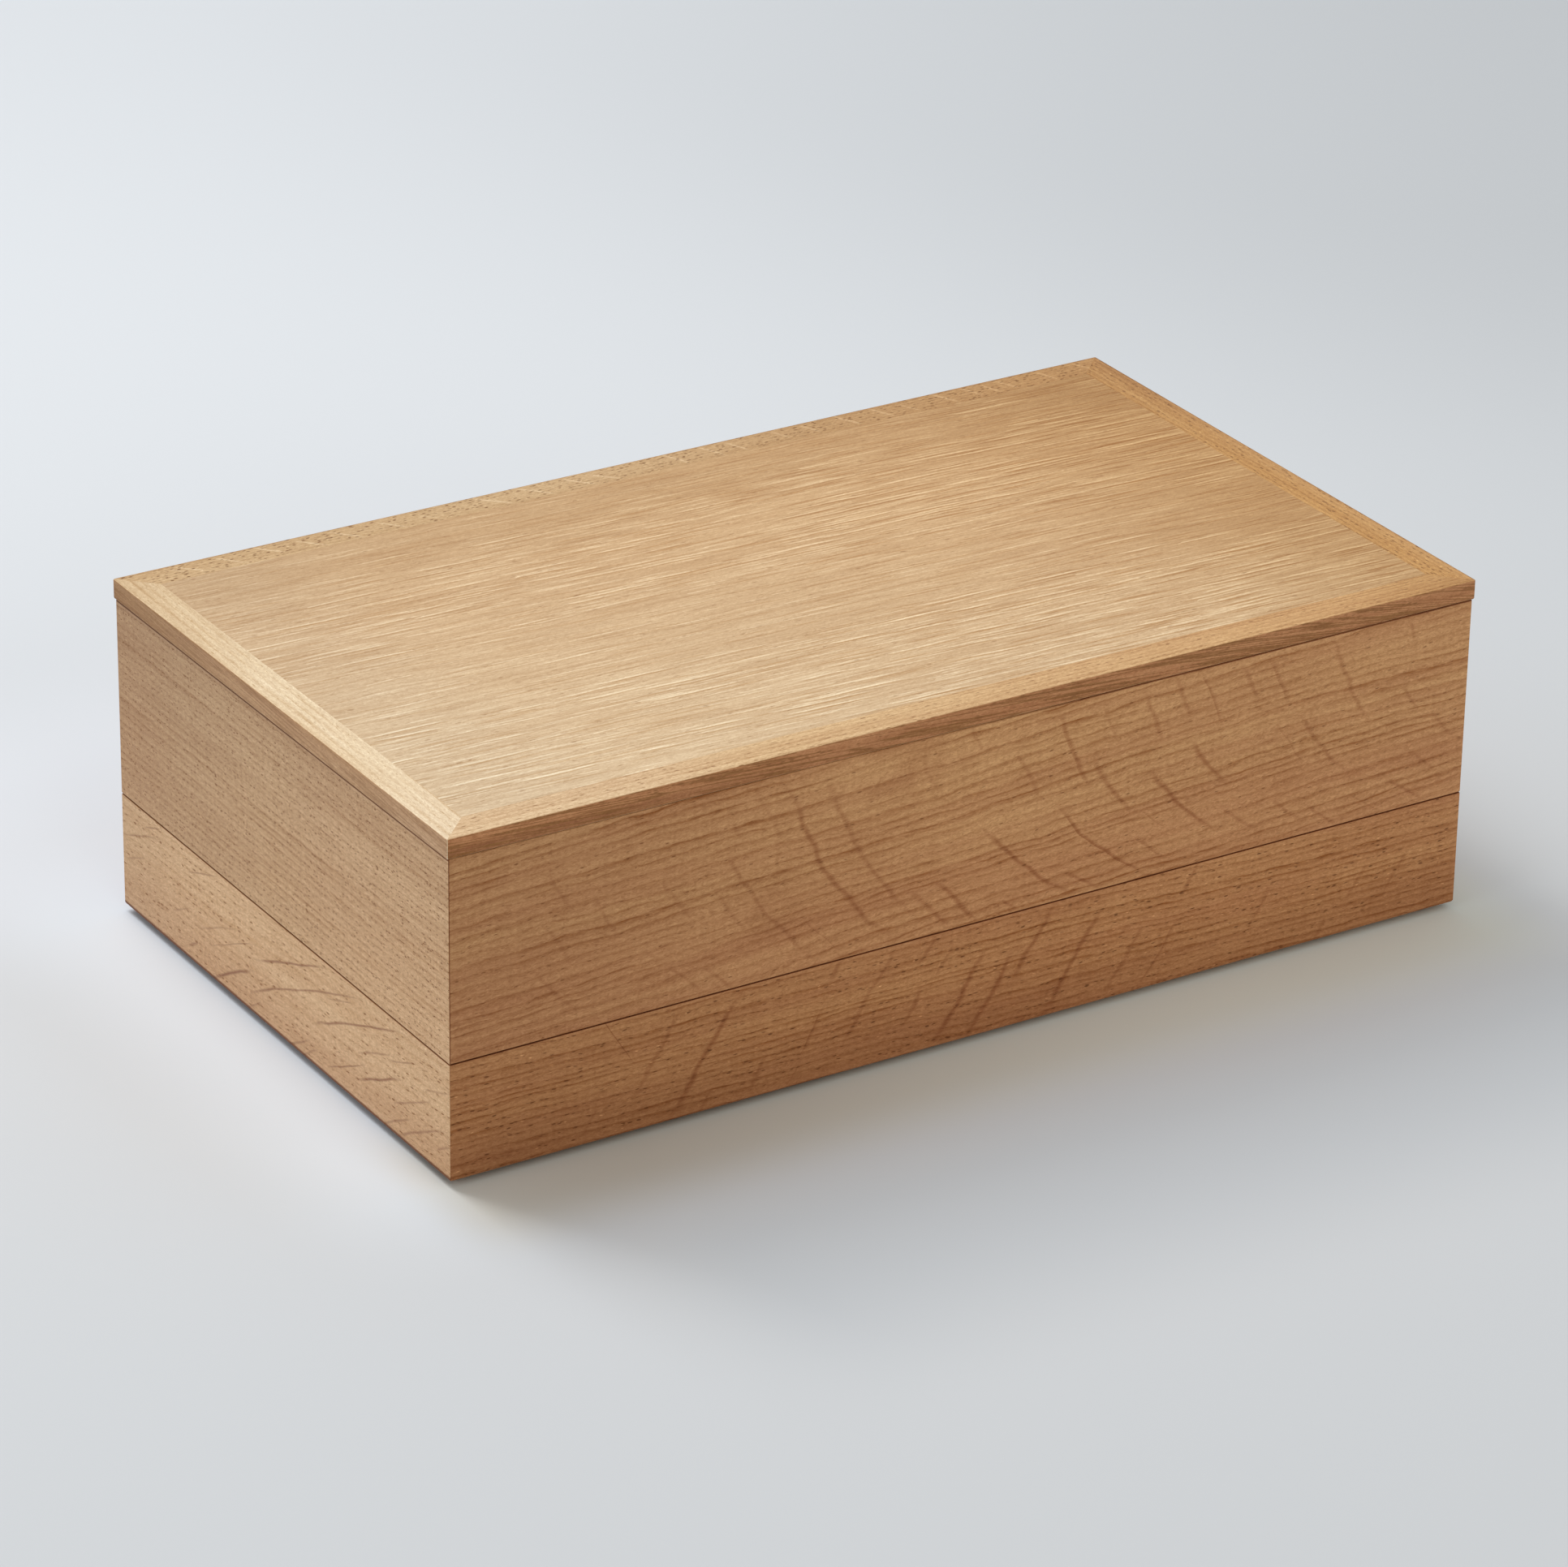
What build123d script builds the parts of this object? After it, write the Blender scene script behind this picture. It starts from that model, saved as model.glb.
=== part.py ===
from build123d import *

import os

# A two-tier oak stationery box: a flat lift-off lid, a deep upper tier and a shallow lower tier.
# Millimetres. +X runs along the long side, +Y to the back, +Z up.
# The origin is the middle of the footprint, on the table.

# Tiers: four mitred walls round a base panel
body_length = 330.0
body_width = 190.0
wall_thickness = 8.0
upper_wall_height = 60.0
lower_wall_height = 35.0
corner_ease = 0.4
rim_ease = 0.3
lower_foot_ease = 0.9
upper_foot_ease = 0.4

# Base panels: a tongue round the edge sits in the walls, and the middle stands proud underneath,
# so that the upper tier nests into the lower one and the lower one stands clear of the table
base_proud = 2.0
base_tongue = 2.5
groove_lip = 2.5
groove_depth = 3.0
groove_clearance = 0.2
nest_clearance = 0.5
base_lead_in = 0.6

# Loose splines, hidden in the upright mitres of the tiers
tier_spline_width = 6.0
tier_spline_thickness = 2.0
tier_spline_inset = 3.0
tier_spline_stop = 4.0
glue_gap = 0.05

# Lid: a mitred frame round a veneered core, with two locating battens underneath
lid_overhang = 0.5
lid_thickness = 6.0
lid_rail_width = 10.0
lid_corner_ease = 0.6
lid_top_ease = 0.4
lid_bottom_ease = 0.6
lid_veneer_thickness = 0.6
lid_tongue = 2.0
lid_tongue_length = 3.0
batten_width = 12.0
batten_height = 6.0
batten_ease = 0.6

# Loose splines, hidden in the flat mitres of the lid frame
lid_spline_width = 4.0
lid_spline_cover = 0.8

# The open joint line between the pieces that lift off
seat_gap = 0.2

# Heights and outlines that follow from the sizes above
lower_bottom = base_proud
lower_rim = lower_bottom + lower_wall_height
upper_bottom = lower_rim + seat_gap
upper_rim = upper_bottom + upper_wall_height
lid_bottom = upper_rim + seat_gap
lid_top = lid_bottom + lid_thickness
inner_length = body_length - 2 * wall_thickness
inner_width = body_width - 2 * wall_thickness
lid_length = body_length + 2 * lid_overhang
lid_width = body_width + 2 * lid_overhang
panel_length = lid_length - 2 * lid_rail_width
panel_width = lid_width - 2 * lid_rail_width

# Each side of a mitred frame, as the turn about +Z that takes the front side there
SIDES = {"front": 0, "right": 90, "back": 180, "left": 270}

# Each corner, as the signs of its X and Y
CORNERS = {"front_left": (-1, -1), "front_right": (1, -1), "back_right": (1, 1), "back_left": (-1, 1)}

MITRE_ANGLE = 45.0

# Length along a mitre for each millimetre across the rail
MITRE_SLOPE = 2 ** 0.5


def block(length, width, low, high):
    """A plain block, centred on the Z axis, between two heights."""
    return Pos(0, 0, (low + high) / 2) * Box(length, width, high - low)


def eased_block(length, width, low, high, corner, top, bottom):
    """A block whose upright, top and bottom edges are rounded by hand sanding."""
    solid = block(length, width, low, high)
    solid = fillet(solid.edges().filter_by(Axis.Z), corner)
    solid = fillet(solid.faces().sort_by(Axis.Z)[-1].edges(), top)
    return fillet(solid.faces().sort_by(Axis.Z)[0].edges(), bottom)


def mitre_wedge(turn, length, width, depth, low, high):
    """The space of one side of a frame, between the 45 degree planes through its two corners."""
    run, span = (length, width) if turn % 180 == 0 else (width, length)
    reach = 2 * depth
    outer_y = -span / 2 - reach
    inner_y = -span / 2 + reach
    outline = Polygon(
        (-run / 2 - reach, outer_y),
        (run / 2 + reach, outer_y),
        (run / 2 - reach, inner_y),
        (-run / 2 + reach, inner_y),
        align=None,
    )
    return Rot(0, 0, turn) * Pos(0, 0, low) * extrude(outline, high - low)


def mitred_sides(prefix, suffix, ring, length, width, depth, low, high):
    """Cuts a ring into its four mitred sides, by name."""
    return {
        f"{prefix}_{side}_{suffix}": ring & mitre_wedge(turn, length, width, depth, low, high)
        for side, turn in SIDES.items()
    }


def tier_spline(corner, low, high, clearance):
    """An upright loose tongue across a tier's mitre, or its slot where the clearance is 0."""
    sign_x, sign_y = corner
    x = sign_x * (inner_length / 2 + tier_spline_inset)
    y = sign_y * (inner_width / 2 + tier_spline_inset)
    strip = Box(
        tier_spline_width - 2 * clearance,
        tier_spline_thickness - 2 * clearance,
        high - low - 2 * clearance,
    )
    return Pos(x, y, (low + high) / 2) * Rot(0, 0, -MITRE_ANGLE * sign_x * sign_y) * strip


def base_panel(wall_bottom):
    """A tier's base: a tongued upper layer, and a middle that stands proud below the walls."""
    lip_top = wall_bottom + groove_lip
    tongue_reach = groove_depth - groove_clearance
    middle = block(
        inner_length - 2 * nest_clearance,
        inner_width - 2 * nest_clearance,
        wall_bottom - base_proud,
        lip_top + base_tongue,
    )
    middle = chamfer(middle.faces().sort_by(Axis.Z)[0].edges(), base_lead_in)
    tongue = block(
        inner_length + 2 * tongue_reach,
        inner_width + 2 * tongue_reach,
        lip_top,
        lip_top + base_tongue,
    )
    return middle + tongue


def tier(name, wall_bottom, wall_height, foot_ease):
    """One tier: four mitred walls, a base panel in their grooves, and a spline in each mitre."""
    rim = wall_bottom + wall_height
    groove_low = wall_bottom + groove_lip
    groove_high = groove_low + base_tongue + groove_clearance
    spline_low = groove_high + tier_spline_stop
    spline_high = rim - tier_spline_stop

    ring = eased_block(body_length, body_width, wall_bottom, rim, corner_ease, rim_ease, foot_ease)
    ring -= block(inner_length, inner_width, wall_bottom - wall_height, rim + wall_height)
    ring = chamfer(ring.faces().sort_by(Axis.Z)[-1].inner_wires()[0].edges(), rim_ease)
    ring -= block(inner_length + 2 * groove_depth, inner_width + 2 * groove_depth, groove_low, groove_high)
    for corner in CORNERS.values():
        ring -= tier_spline(corner, spline_low, spline_high, 0)

    pieces = mitred_sides(name, "wall", ring, body_length, body_width, wall_thickness, wall_bottom, rim)
    pieces[f"{name}_base_panel"] = base_panel(wall_bottom)
    for corner_name, corner in CORNERS.items():
        pieces[f"{name}_{corner_name}_spline"] = tier_spline(corner, spline_low, spline_high, glue_gap)
    return pieces


def lid_spline(corner, low, high, clearance):
    """A flat loose tongue across a mitre of the lid frame, or its slot where the clearance is 0.

    It lies between the groove for the core and the frame's outer faces, with a cover of wood at both.
    """
    sign_x, sign_y = corner
    inner_end = lid_tongue_length + lid_spline_cover
    outer_end = lid_rail_width - lid_spline_cover - lid_spline_width / 2 / MITRE_SLOPE
    inset = (inner_end + outer_end) / 2
    strip = Box(
        lid_spline_width - 2 * clearance,
        (outer_end - inner_end) * MITRE_SLOPE - 2 * clearance,
        high - low - 2 * clearance,
    )
    place = Pos(
        sign_x * (panel_length / 2 + inset),
        sign_y * (panel_width / 2 + inset),
        (low + high) / 2,
    )
    return place * Rot(0, 0, -MITRE_ANGLE * sign_x * sign_y) * strip


def lid_batten(sign_x):
    """A batten across one end of the lid's underside, which drops just inside the upper tier."""
    length = inner_width - 2 * nest_clearance
    middle_x = sign_x * (inner_length / 2 - nest_clearance - batten_width / 2)
    batten = Pos(middle_x, 0, 0) * block(batten_width, length, lid_bottom - batten_height, lid_bottom)
    return chamfer(batten.faces().sort_by(Axis.Z)[0].edges(), batten_ease)


def lid():
    """The lid: a mitred frame, a tongued core with a veneer on each face, and two battens."""
    middle = (lid_bottom + lid_top) / 2
    tongue_low = middle - lid_tongue / 2
    tongue_high = middle + lid_tongue / 2
    core_low = lid_bottom + lid_veneer_thickness
    core_high = lid_top - lid_veneer_thickness
    tongue_reach = lid_tongue_length - groove_clearance

    ring = eased_block(
        lid_length, lid_width, lid_bottom, lid_top, lid_corner_ease, lid_top_ease, lid_bottom_ease
    )
    ring -= block(panel_length, panel_width, lid_bottom - lid_thickness, lid_top + lid_thickness)
    ring -= block(
        panel_length + 2 * lid_tongue_length, panel_width + 2 * lid_tongue_length, tongue_low, tongue_high
    )
    for corner in CORNERS.values():
        ring -= lid_spline(corner, tongue_low, tongue_high, 0)

    pieces = mitred_sides("lid", "rail", ring, lid_length, lid_width, lid_rail_width, lid_bottom, lid_top)
    core = block(panel_length, panel_width, core_low, core_high)
    core += block(
        panel_length + 2 * tongue_reach, panel_width + 2 * tongue_reach, tongue_low, tongue_high
    )
    pieces["lid_panel_core"] = core
    pieces["lid_top_veneer"] = block(panel_length, panel_width, core_high, lid_top)
    pieces["lid_under_veneer"] = block(panel_length, panel_width, lid_bottom, core_low)
    for corner_name, corner in CORNERS.items():
        pieces[f"lid_{corner_name}_spline"] = lid_spline(corner, tongue_low, tongue_high, glue_gap)
    pieces["lid_left_batten"] = lid_batten(-1)
    pieces["lid_right_batten"] = lid_batten(1)
    return pieces


os.makedirs("parts", exist_ok=True)
nodes = {
    **tier("lower", lower_bottom, lower_wall_height, lower_foot_ease),
    **tier("upper", upper_bottom, upper_wall_height, upper_foot_ease),
    **lid(),
}
for node_name, piece in nodes.items():
    export_step(piece, f"parts/{node_name}.step")
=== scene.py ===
import math

import bpy
from mathutils import Matrix, Vector


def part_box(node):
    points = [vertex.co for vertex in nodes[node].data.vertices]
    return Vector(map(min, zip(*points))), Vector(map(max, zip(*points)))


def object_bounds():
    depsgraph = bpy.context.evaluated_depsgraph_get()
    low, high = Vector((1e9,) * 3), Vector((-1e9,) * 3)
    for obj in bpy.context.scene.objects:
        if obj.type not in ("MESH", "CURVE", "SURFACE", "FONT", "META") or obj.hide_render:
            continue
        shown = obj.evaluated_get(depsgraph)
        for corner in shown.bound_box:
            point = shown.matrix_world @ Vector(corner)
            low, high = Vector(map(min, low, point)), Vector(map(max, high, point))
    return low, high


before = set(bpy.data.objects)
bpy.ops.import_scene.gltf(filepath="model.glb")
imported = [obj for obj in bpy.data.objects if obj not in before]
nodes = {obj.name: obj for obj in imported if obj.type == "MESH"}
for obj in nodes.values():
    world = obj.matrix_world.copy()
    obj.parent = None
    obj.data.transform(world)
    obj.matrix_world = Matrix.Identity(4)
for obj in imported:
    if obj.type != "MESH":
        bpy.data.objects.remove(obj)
cad_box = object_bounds()


# Base panels. Each is one oak board, tongued into grooves in the four walls of its tier, with a
# middle that stands proud underneath: it nests the upper tier and lifts the lower one off the table.
# The wood is read as a solid block: growth rings, pores and fibres run through the board in 3-D.
MM = 0.001


def feed(tree, socket, value):
    """Gives a socket its value, which is another socket, a number or a tuple."""
    if isinstance(value, bpy.types.NodeSocket):
        tree.links.new(value, socket)
    else:
        socket.default_value = value


def calc(tree, operation, *values):
    """One step of arithmetic on numbers or sockets."""
    step = tree.nodes.new("ShaderNodeMath")
    step.operation = operation
    for socket, value in zip(step.inputs, values):
        feed(tree, socket, value)
    return step.outputs[0]


def fade(tree, value, low, high):
    """Rises smoothly from 0 at low to 1 at high, or falls where low is the larger."""
    step = tree.nodes.new("ShaderNodeMapRange")
    step.interpolation_type = "SMOOTHSTEP"
    for name, entry in (("Value", value), ("From Min", low), ("From Max", high)):
        feed(tree, step.inputs[name], entry)
    return step.outputs[0]


def joined(tree, x, y, z):
    """Three numbers or sockets as one vector."""
    step = tree.nodes.new("ShaderNodeCombineXYZ")
    for socket, value in zip(step.inputs, (x, y, z)):
        feed(tree, socket, value)
    return step.outputs[0]


def parted(tree, vector):
    """The three numbers of a vector."""
    step = tree.nodes.new("ShaderNodeSeparateXYZ")
    feed(tree, step.inputs[0], vector)
    return tuple(step.outputs)


def stretched(tree, place, size):
    """A place in the board, measured in spots that are size mm along, across and deep."""
    step = tree.nodes.new("ShaderNodeVectorMath")
    step.operation = "DIVIDE"
    feed(tree, step.inputs[0], place)
    feed(tree, step.inputs[1], size)
    return step.outputs[0]


def noise(tree, place, size, detail=2.0, swirl=0.0):
    """Soft random clouds, -1 to 1, whose lumps measure about size mm along, across and deep."""
    step = tree.nodes.new("ShaderNodeTexNoise")
    feed(tree, step.inputs["Vector"], stretched(tree, place, size))
    step.inputs["Scale"].default_value = 1.0
    step.inputs["Detail"].default_value = detail
    step.inputs["Distortion"].default_value = swirl
    return calc(tree, "MULTIPLY_ADD", step.outputs[0], 2.0, -1.0)


def tint(tree, share, first, second, mode="MIX"):
    """Two colours, mixed by share."""
    step = tree.nodes.new("ShaderNodeMix")
    step.data_type = "RGBA"
    step.blend_type = mode
    feed(tree, step.inputs[0], share)
    feed(tree, step.inputs[6], first)
    feed(tree, step.inputs[7], second)
    return step.outputs[2]


OAK_PULLS = (0.78, 1.05, 1.3)


def shaded(tree, colour, change):
    """A colour lighter or darker by a share, times a pull for each of red, green and blue.

    Red follows least, so the wood grows redder as it darkens, as oak does.
    """
    red, green, blue = (calc(tree, "MULTIPLY_ADD", change, pull, 1.0) for pull in OAK_PULLS)
    return tint(tree, 1.0, colour, joined(tree, red, green, blue), "MULTIPLY")


def between(tree, share, low, high):
    """Low, plus a share of the way from there to high."""
    return calc(tree, "MULTIPLY_ADD", share, high - low, low)


# The grain: sizes in mm along, across and into the board, then what shapes a year and its vessels
SWAY_SIZE = (120, 40, 40)
RIPPLE_SIZE = (15, 5, 5)
BREAK_SIZE = (8, 0.8, 0.8)
FAINT_SIZE = (55, 13, 13)
FIBRE_SIZE = (26, 0.9, 0.9)
GRIT_SIZE = (1.5, 0.5, 0.5)
TONE_SIZE = (110, 8, 8)
RIPPLE_SHARE = 0.42
YEARS_ALIKE = 3.7
YEAR_SPREAD = 1.1
START_POWER = 1.7
END_POWER = 7.0
LEAST_WEIGHT = 0.4
LEAST_BROKEN = 0.22
LEAST_FAINT = 0.45
YEAR_SHADE = 0.1
CROWD_POWER = 5.0
LATE_CROWD = 0.03
FILLED_SHARE = 0.5
BORE_EDGE = (0.46, 0.2)
SPECK_EDGE = (0.34, 0.1)


def make_oak_grain():
    """The figure of solid oak in one board, from a place in mm along, across and into it.

    Ring is the dark line of each year's early wood, Pore the open vessels, which lie in rows along
    those lines, Speck the vessels that are filled and pale, Fibre the fine streaks along the grain,
    Grit the cut ends of the cells, and Tone the slow change of colour.
    """
    tree = bpy.data.node_groups.new("oak_grain", "ShaderNodeTree")
    for name in ("Place", "Pore Size"):
        tree.interface.new_socket(name=name, in_out="INPUT", socket_type="NodeSocketVector")
    for name in ("Ring Width", "Ring Tilt", "Slope", "Wave", "Pore Share"):
        tree.interface.new_socket(name=name, in_out="INPUT", socket_type="NodeSocketFloat")
    for name in ("Ring", "Pore", "Speck", "Fibre", "Grit", "Tone"):
        tree.interface.new_socket(name=name, in_out="OUTPUT", socket_type="NodeSocketFloat")
    given = tree.nodes.new("NodeGroupInput").outputs
    place = given["Place"]
    along, across, depth = parted(tree, place)

    # The grain drifts over the board, sways slowly and ripples a little
    drift = calc(tree, "MULTIPLY_ADD", along, given["Slope"], across)
    drift = calc(tree, "MULTIPLY_ADD", noise(tree, place, SWAY_SIZE, 1.0), given["Wave"], drift)
    ripple = calc(tree, "MULTIPLY", noise(tree, place, RIPPLE_SIZE, 4.0), RIPPLE_SHARE)
    drift = calc(tree, "MULTIPLY_ADD", ripple, given["Wave"], drift)
    radius = calc(tree, "MULTIPLY_ADD", depth, given["Ring Tilt"], drift)
    bent = joined(tree, along, drift, depth)

    # Years of uneven width, each dark at its start and paler to its end
    years = calc(tree, "DIVIDE", radius, given["Ring Width"])
    uneven = noise(tree, joined(tree, years, 0.5, 0.5), (YEARS_ALIKE, 1.0, 1.0), 1.0)
    years = calc(tree, "MULTIPLY_ADD", uneven, YEAR_SPREAD, years)
    phase = calc(tree, "FRACT", years)
    start = calc(tree, "SUBTRACT", 1.0, phase)
    line = calc(tree, "POWER", start, START_POWER)
    line = calc(tree, "MAXIMUM", line, calc(tree, "POWER", phase, END_POWER))
    year = tree.nodes.new("ShaderNodeTexWhiteNoise")
    year.noise_dimensions = "1D"
    feed(tree, year.inputs["W"], calc(tree, "FLOOR", years))
    weight = between(tree, year.outputs["Value"], LEAST_WEIGHT, 1.0)
    broken = fade(tree, noise(tree, bent, BREAK_SIZE, 4.0), -0.45, 0.3)
    ring = calc(tree, "MULTIPLY", line, weight)
    ring = calc(tree, "MULTIPLY", ring, between(tree, broken, LEAST_BROKEN, 1.0))
    ring = calc(tree, "MULTIPLY_ADD", start, YEAR_SHADE, ring)
    faint = fade(tree, noise(tree, place, FAINT_SIZE), -0.5, 0.3)
    ring = calc(tree, "MULTIPLY", ring, between(tree, faint, LEAST_FAINT, 1.0))

    # Vessels: slim cells along the grain, crowded in the early wood, some of them filled
    cells = tree.nodes.new("ShaderNodeTexVoronoi")
    cells.inputs["Scale"].default_value = 1.0
    feed(tree, cells.inputs["Vector"], stretched(tree, bent, given["Pore Size"]))
    chance = tree.nodes.new("ShaderNodeSeparateColor")
    feed(tree, chance.inputs[0], cells.outputs["Color"])
    crowd = between(tree, calc(tree, "POWER", start, CROWD_POWER), LATE_CROWD, 1.0)
    crowd = calc(tree, "MULTIPLY", crowd, given["Pore Share"])
    there = calc(tree, "LESS_THAN", chance.outputs[0], crowd)
    bore = fade(tree, cells.outputs["Distance"], *BORE_EDGE)
    open_bore = calc(tree, "MULTIPLY", bore, there)
    pore = calc(tree, "MULTIPLY", open_bore, fade(tree, chance.outputs[1], -0.6, 0.8))
    unfilled = calc(tree, "SUBTRACT", 1.0, calc(tree, "MULTIPLY", crowd, FILLED_SHARE))
    filled = calc(tree, "GREATER_THAN", chance.outputs[0], unfilled)
    speck = calc(tree, "MULTIPLY", fade(tree, cells.outputs["Distance"], *SPECK_EDGE), filled)

    sent = tree.nodes.new("NodeGroupOutput").inputs
    feed(tree, sent["Ring"], ring)
    feed(tree, sent["Pore"], pore)
    feed(tree, sent["Speck"], speck)
    feed(tree, sent["Fibre"], noise(tree, bent, FIBRE_SIZE, 3.0))
    feed(tree, sent["Grit"], noise(tree, bent, GRIT_SIZE, 4.0, 1.2))
    feed(tree, sent["Tone"], noise(tree, bent, TONE_SIZE))
    return tree


oak_grain = make_oak_grain()


def board_place(tree, axes, origin):
    """A point of the board in mm, as along, across and depth, by named axes and an origin in m."""
    spot = parted(tree, tree.nodes.new("ShaderNodeTexCoord").outputs["Object"])
    steps = []
    for name in axes.split():
        number = "XYZ".index(name[-1])
        way = -1.0 if name[0] == "-" else 1.0
        steps.append(calc(tree, "MULTIPLY_ADD", spot[number], way / MM, -origin[number] * way / MM))
    return steps


GRIT_HEIGHT = 0.25
OILED_ROUGHNESS = 0.5
GRIT_ROUGHNESS = 0.05


def oak_board(name, axes, origin, seed, wood, look, figure=None):
    """The material of one oak board.

    axes names the directions along the grain, across it on the face that shows, and into the board.
    wood holds the pale, the deep, the dark and the pore colour, look the strength of each trace.
    figure adds what only this board has: it takes the tree, the place and the colour so far.
    """
    material = bpy.data.materials.new(name)
    material.use_nodes = True
    tree = material.node_tree
    shader = tree.nodes["Principled BSDF"]
    steps = board_place(tree, axes, origin)
    place = joined(tree, *(calc(tree, "ADD", step, offset) for step, offset in zip(steps, seed)))

    grain = tree.nodes.new("ShaderNodeGroup")
    grain.node_tree = oak_grain
    feed(tree, grain.inputs["Place"], place)
    for key in ("Ring Width", "Ring Tilt", "Slope", "Wave", "Pore Size", "Pore Share"):
        feed(tree, grain.inputs[key], look[key])
    ring, pore, speck = (grain.outputs[key] for key in ("Ring", "Pore", "Speck"))
    fibre, grit, tone = (grain.outputs[key] for key in ("Fibre", "Grit", "Tone"))

    colour = tint(tree, fade(tree, tone, -0.45, 0.45), wood["pale"], wood["deep"])
    colour = tint(tree, calc(tree, "MULTIPLY", ring, look["ring"]), colour, wood["dark"])
    if figure:
        colour = figure(tree, steps, colour)
    colour = shaded(tree, colour, calc(tree, "MULTIPLY", fibre, look["fibre"]))
    colour = shaded(tree, colour, calc(tree, "MULTIPLY", grit, look["grit"]))
    colour = shaded(tree, colour, calc(tree, "MULTIPLY", speck, look["speck"]))
    colour = tint(tree, calc(tree, "MULTIPLY", pore, look["pore"]), colour, wood["pore"])
    feed(tree, shader.inputs["Base Color"], colour)
    shader.inputs["Specular IOR Level"].default_value = 0.2

    height = calc(tree, "MULTIPLY_ADD", pore, -1.0, calc(tree, "MULTIPLY", grit, GRIT_HEIGHT))
    bump = tree.nodes.new("ShaderNodeBump")
    bump.inputs["Strength"].default_value = 0.2
    bump.inputs["Distance"].default_value = 0.00012
    feed(tree, bump.inputs["Height"], height)
    feed(tree, shader.inputs["Normal"], bump.outputs[0])
    roughness = calc(tree, "MULTIPLY_ADD", grit, GRIT_ROUGHNESS, OILED_ROUGHNESS)
    feed(tree, shader.inputs["Roughness"], roughness)
    return material


def dress(node, material):
    """Puts a material on a CAD piece."""
    for slot in nodes[node].material_slots:
        slot.material = material


plain_look = {
    "Ring Width": 3.2,
    "Ring Tilt": 0.3,
    "Slope": 0.01,
    "Wave": 2.5,
    "Pore Size": (2.0, 0.5, 0.5),
    "Pore Share": 0.5,
    "ring": 0.4,
    "fibre": 0.12,
    "grit": 0.55,
    "pore": 0.7,
    "speck": 0.2,
}
tan_oak = {
    "pale": (0.56, 0.33, 0.14, 1),
    "deep": (0.5, 0.28, 0.11, 1),
    "dark": (0.3, 0.14, 0.05, 1),
    "pore": (0.16, 0.07, 0.025, 1),
}
for tier, seed in (("lower", (0, 40, 7)), ("upper", (300, 90, 3))):
    node = f"{tier}_base_panel"
    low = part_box(node)[0]
    dress(node, oak_board(node, "X Y Z", low, seed, tan_oak, plain_look))


# Splines. Loose oak tongues glued into slots across the mitres, shut in on all sides.
# They show only if the box is taken apart, and are left raw.
CORNERS = ("front_left", "front_right", "back_right", "back_left")
raw_oak = {
    "pale": (0.58, 0.38, 0.2, 1),
    "deep": (0.52, 0.33, 0.165, 1),
    "dark": (0.34, 0.18, 0.08, 1),
    "pore": (0.2, 0.1, 0.045, 1),
}
spline_oak = oak_board("spline_oak", "X Y Z", Vector(), (0, 0, 0), raw_oak, plain_look)
for group in ("lower", "upper", "lid"):
    for corner in CORNERS:
        dress(f"{group}_{corner}_spline", spline_oak)


# Walls of the two tiers. Quarter-sawn oak, 8 mm thick, grain running round the box, mitred at the
# corners and oiled. Each board has its own figure: lines of early wood, and the rays that cross them.
MARK_UNIT = 100.0
WANDER_SIZE = (14, 9, 9)
FAINT_WIDTH = 0.55
RIBBON_END = (1.08, 0.45)
STRENGTH_POWER = 0.75


def rays(tree, run, rise, bend, half_width, marks, reach):
    """Ray flecks: soft ribbons across the grain, all leaning alike, each with its own place and length.

    A ribbon leans by slope times the depth below the edge, plus curve times the square of the depth
    below start. A mark is where its ribbon would meet the edge, its top and foot, in mm, and its
    strength. The marks stand in a ramp of constant steps, whose colour holds place, middle, half length
    and strength, with the middle and the half length in MARK_UNIT mm. A ribbon's half width goes from
    FAINT_WIDTH of the one given, for a strength of 0, to all of it for 1.
    """
    slope, curve, start = bend
    below = calc(tree, "MAXIMUM", calc(tree, "SUBTRACT", rise, start), 0.0)
    lean = calc(tree, "MULTIPLY", calc(tree, "MULTIPLY", below, below), curve)
    lean = calc(tree, "MULTIPLY_ADD", rise, slope, lean)
    wander = noise(tree, joined(tree, run, rise, 0.0), WANDER_SIZE, 1.0)
    across = calc(tree, "MULTIPLY_ADD", wander, half_width, calc(tree, "SUBTRACT", run, lean))
    low, high = reach
    share = calc(tree, "DIVIDE", calc(tree, "SUBTRACT", across, low), high - low)

    lookup = tree.nodes.new("ShaderNodeValToRGB")
    lookup.color_ramp.interpolation = "CONSTANT"
    stops = lookup.color_ramp.elements
    stops.remove(stops[1])
    before = None
    for at, top, foot, strength in sorted(marks):
        here = (at - low) / (high - low)
        stop = stops[0] if before is None else stops.new((before + here) / 2)
        stop.color = (here, (top + foot) / 2 / MARK_UNIT, (foot - top) / 2 / MARK_UNIT, strength)
        before = here
    feed(tree, lookup.inputs[0], share)
    held = tree.nodes.new("ShaderNodeSeparateColor")
    feed(tree, held.inputs[0], lookup.outputs[0])
    strength = lookup.outputs[1]
    off = calc(tree, "ABSOLUTE", calc(tree, "SUBTRACT", share, held.outputs[0]))
    width = between(tree, strength, FAINT_WIDTH * half_width, half_width)
    off = calc(tree, "DIVIDE", calc(tree, "MULTIPLY", off, high - low), width)
    end = calc(tree, "SUBTRACT", calc(tree, "DIVIDE", rise, MARK_UNIT), held.outputs[1])
    end = calc(tree, "DIVIDE", calc(tree, "ABSOLUTE", end), held.outputs[2])
    ribbon = calc(tree, "MULTIPLY", fade(tree, off, 1.0, 0.0), fade(tree, end, *RIBBON_END))
    return calc(tree, "MULTIPLY", ribbon, calc(tree, "POWER", strength, STRENGTH_POWER))


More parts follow.
